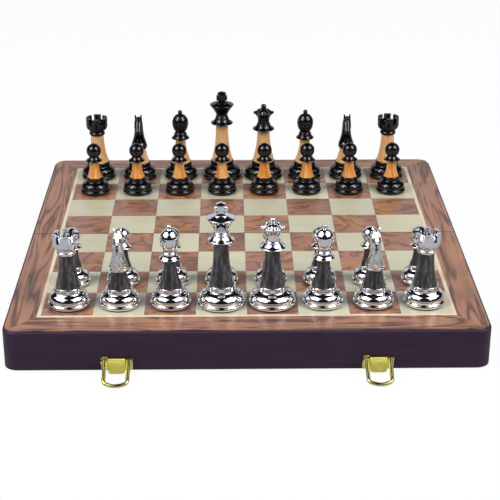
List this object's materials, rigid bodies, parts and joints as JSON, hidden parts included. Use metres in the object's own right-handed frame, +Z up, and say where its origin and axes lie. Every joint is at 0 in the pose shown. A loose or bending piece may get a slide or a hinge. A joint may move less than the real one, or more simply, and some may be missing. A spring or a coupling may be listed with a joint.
{
  "type": "folding chess box",
  "caption": "Folding wooden chess box opened flat as a board, with inlaid squares, seam hinges, brass loop latches and a set of turned chess pieces.",
  "frame": {"origin": "on the table below the middle of the opened board, on the hinge line", "axes": "+Z up out of the playing surface, +X to the right along the seam, -Y towards the side with the latches"},
  "size_m": [0.3, 0.3258, 0.0974],
  "materials": {
    "lacquered_walls": "satin dark brown lacquer over hardwood",
    "panel_core": "plain plywood under the veneer",
    "lining_felt": "short-napped green felt, a guess",
    "light_squares": "pale maple veneer, satin",
    "dark_squares": "brown rosewood veneer with streaks, satin",
    "stringing": "cream inlay strip, satin",
    "border_veneer": "pinkish brown rosewood veneer, grain along each strip, satin",
    "brass": "polished yellow brass",
    "silver_pieces": "mirror chrome with dark gunmetal stems",
    "black_pieces": "gloss black with amber stems"
  },
  "bodies": {
    "front_half": {"front_long_walls": "lacquered_walls", "front_side_walls": "lacquered_walls", "front_top_panel": "panel_core", "front_felt_lining": "lining_felt", "front_light_squares": "light_squares", "front_dark_squares": "dark_squares", "front_stringing": "stringing", "front_border_veneer": "border_veneer", "front_hinge_leaves": "brass", "front_brass_nails": "brass", "hinge_pins": "brass", "latch_pins": "brass", "latch_base_plates": "brass"},
    "rear_half": {"rear_long_walls": "lacquered_walls", "rear_side_walls": "lacquered_walls", "rear_top_panel": "panel_core", "rear_felt_lining": "lining_felt", "rear_light_squares": "light_squares", "rear_dark_squares": "dark_squares", "rear_stringing": "stringing", "rear_border_veneer": "border_veneer", "rear_hinge_leaves": "brass", "rear_brass_nails": "brass", "catch_plates": "brass"},
    "left_loop": {"left_latch_loop": "brass"},
    "left_tongue": {"left_latch_tongue": "brass"},
    "right_loop": {"right_latch_loop": "brass"},
    "right_tongue": {"right_latch_tongue": "brass"},
    "silver_rook_a": {"silver_rook_a": "silver_pieces"},
    "silver_pawn_a": {"silver_pawn_a": "silver_pieces"},
    "silver_knight_b": {"silver_knight_b": "silver_pieces"},
    "silver_pawn_b": {"silver_pawn_b": "silver_pieces"},
    "silver_bishop_c": {"silver_bishop_c": "silver_pieces"},
    "silver_pawn_c": {"silver_pawn_c": "silver_pieces"},
    "silver_king_d": {"silver_king_d": "silver_pieces"},
    "silver_pawn_d": {"silver_pawn_d": "silver_pieces"},
    "silver_queen_e": {"silver_queen_e": "silver_pieces"},
    "silver_pawn_e": {"silver_pawn_e": "silver_pieces"},
    "silver_bishop_f": {"silver_bishop_f": "silver_pieces"},
    "silver_pawn_f": {"silver_pawn_f": "silver_pieces"},
    "silver_knight_g": {"silver_knight_g": "silver_pieces"},
    "silver_pawn_g": {"silver_pawn_g": "silver_pieces"},
    "silver_rook_h": {"silver_rook_h": "silver_pieces"},
    "silver_pawn_h": {"silver_pawn_h": "silver_pieces"},
    "black_rook_a": {"black_rook_a": "black_pieces"},
    "black_pawn_a": {"black_pawn_a": "black_pieces"},
    "black_knight_b": {"black_knight_b": "black_pieces"},
    "black_pawn_b": {"black_pawn_b": "black_pieces"},
    "black_bishop_c": {"black_bishop_c": "black_pieces"},
    "black_pawn_c": {"black_pawn_c": "black_pieces"},
    "black_king_d": {"black_king_d": "black_pieces"},
    "black_pawn_d": {"black_pawn_d": "black_pieces"},
    "black_queen_e": {"black_queen_e": "black_pieces"},
    "black_pawn_e": {"black_pawn_e": "black_pieces"},
    "black_bishop_f": {"black_bishop_f": "black_pieces"},
    "black_pawn_f": {"black_pawn_f": "black_pieces"},
    "black_knight_g": {"black_knight_g": "black_pieces"},
    "black_pawn_g": {"black_pawn_g": "black_pieces"},
    "black_rook_h": {"black_rook_h": "black_pieces"},
    "black_pawn_h": {"black_pawn_h": "black_pieces"}
  },
  "joints": [
    {"name": "fold", "type": "hinge", "parent": "front_half", "child": "rear_half", "pos_m": [0, 0, 0.00125], "axis": [-1, 0, 0], "range_deg": [0, 180]},
    {"name": "left_loop_swing", "type": "hinge", "parent": "front_half", "child": "left_loop", "pos_m": [-0.08, -0.1524, 0.00935], "axis": [-1, 0, 0], "range_deg": [-65, 45]},
    {"name": "right_loop_swing", "type": "hinge", "parent": "front_half", "child": "right_loop", "pos_m": [0.08, -0.1524, 0.00935], "axis": [-1, 0, 0], "range_deg": [-65, 45]},
    {"name": "left_tongue_swing", "type": "hinge", "parent": "front_half", "child": "left_tongue", "pos_m": [-0.08, -0.1524, 0.00935], "axis": [-1, 0, 0], "range_deg": [-20, 120]},
    {"name": "right_tongue_swing", "type": "hinge", "parent": "front_half", "child": "right_tongue", "pos_m": [0.08, -0.1524, 0.00935], "axis": [-1, 0, 0], "range_deg": [-20, 120]},
    {"name": "silver_rook_a_lift", "type": "slide", "parent": "front_half", "child": "silver_rook_a", "axis": [0, 0, 1], "range_m": [0, 0.09]},
    {"name": "silver_pawn_a_lift", "type": "slide", "parent": "front_half", "child": "silver_pawn_a", "axis": [0, 0, 1], "range_m": [0, 0.09]},
    {"name": "silver_knight_b_lift", "type": "slide", "parent": "front_half", "child": "silver_knight_b", "axis": [0, 0, 1], "range_m": [0, 0.09]},
    {"name": "silver_pawn_b_lift", "type": "slide", "parent": "front_half", "child": "silver_pawn_b", "axis": [0, 0, 1], "range_m": [0, 0.09]},
    {"name": "silver_bishop_c_lift", "type": "slide", "parent": "front_half", "child": "silver_bishop_c", "axis": [0, 0, 1], "range_m": [0, 0.09]},
    {"name": "silver_pawn_c_lift", "type": "slide", "parent": "front_half", "child": "silver_pawn_c", "axis": [0, 0, 1], "range_m": [0, 0.09]},
    {"name": "silver_king_d_lift", "type": "slide", "parent": "front_half", "child": "silver_king_d", "axis": [0, 0, 1], "range_m": [0, 0.09]},
    {"name": "silver_pawn_d_lift", "type": "slide", "parent": "front_half", "child": "silver_pawn_d", "axis": [0, 0, 1], "range_m": [0, 0.09]},
    {"name": "silver_queen_e_lift", "type": "slide", "parent": "front_half", "child": "silver_queen_e", "axis": [0, 0, 1], "range_m": [0, 0.09]},
    {"name": "silver_pawn_e_lift", "type": "slide", "parent": "front_half", "child": "silver_pawn_e", "axis": [0, 0, 1], "range_m": [0, 0.09]},
    {"name": "silver_bishop_f_lift", "type": "slide", "parent": "front_half", "child": "silver_bishop_f", "axis": [0, 0, 1], "range_m": [0, 0.09]},
    {"name": "silver_pawn_f_lift", "type": "slide", "parent": "front_half", "child": "silver_pawn_f", "axis": [0, 0, 1], "range_m": [0, 0.09]},
    {"name": "silver_knight_g_lift", "type": "slide", "parent": "front_half", "child": "silver_knight_g", "axis": [0, 0, 1], "range_m": [0, 0.09]},
    {"name": "silver_pawn_g_lift", "type": "slide", "parent": "front_half", "child": "silver_pawn_g", "axis": [0, 0, 1], "range_m": [0, 0.09]},
    {"name": "silver_rook_h_lift", "type": "slide", "parent": "front_half", "child": "silver_rook_h", "axis": [0, 0, 1], "range_m": [0, 0.09]},
    {"name": "silver_pawn_h_lift", "type": "slide", "parent": "front_half", "child": "silver_pawn_h", "axis": [0, 0, 1], "range_m": [0, 0.09]},
    {"name": "black_rook_a_lift", "type": "slide", "parent": "rear_half", "child": "black_rook_a", "axis": [0, 0, 1], "range_m": [0, 0.09]},
    {"name": "black_pawn_a_lift", "type": "slide", "parent": "rear_half", "child": "black_pawn_a", "axis": [0, 0, 1], "range_m": [0, 0.09]},
    {"name": "black_knight_b_lift", "type": "slide", "parent": "rear_half", "child": "black_knight_b", "axis": [0, 0, 1], "range_m": [0, 0.09]},
    {"name": "black_pawn_b_lift", "type": "slide", "parent": "rear_half", "child": "black_pawn_b", "axis": [0, 0, 1], "range_m": [0, 0.09]},
    {"name": "black_bishop_c_lift", "type": "slide", "parent": "rear_half", "child": "black_bishop_c", "axis": [0, 0, 1], "range_m": [0, 0.09]},
    {"name": "black_pawn_c_lift", "type": "slide", "parent": "rear_half", "child": "black_pawn_c", "axis": [0, 0, 1], "range_m": [0, 0.09]},
    {"name": "black_king_d_lift", "type": "slide", "parent": "rear_half", "child": "black_king_d", "axis": [0, 0, 1], "range_m": [0, 0.09]},
    {"name": "black_pawn_d_lift", "type": "slide", "parent": "rear_half", "child": "black_pawn_d", "axis": [0, 0, 1], "range_m": [0, 0.09]},
    {"name": "black_queen_e_lift", "type": "slide", "parent": "rear_half", "child": "black_queen_e", "axis": [0, 0, 1], "range_m": [0, 0.09]},
    {"name": "black_pawn_e_lift", "type": "slide", "parent": "rear_half", "child": "black_pawn_e", "axis": [0, 0, 1], "range_m": [0, 0.09]},
    {"name": "black_bishop_f_lift", "type": "slide", "parent": "rear_half", "child": "black_bishop_f", "axis": [0, 0, 1], "range_m": [0, 0.09]},
    {"name": "black_pawn_f_lift", "type": "slide", "parent": "rear_half", "child": "black_pawn_f", "axis": [0, 0, 1], "range_m": [0, 0.09]},
    {"name": "black_knight_g_lift", "type": "slide", "parent": "rear_half", "child": "black_knight_g", "axis": [0, 0, 1], "range_m": [0, 0.09]},
    {"name": "black_pawn_g_lift", "type": "slide", "parent": "rear_half", "child": "black_pawn_g", "axis": [0, 0, 1], "range_m": [0, 0.09]},
    {"name": "black_rook_h_lift", "type": "slide", "parent": "rear_half", "child": "black_rook_h", "axis": [0, 0, 1], "range_m": [0, 0.09]},
    {"name": "black_pawn_h_lift", "type": "slide", "parent": "rear_half", "child": "black_pawn_h", "axis": [0, 0, 1], "range_m": [0, 0.09]}
  ]
}
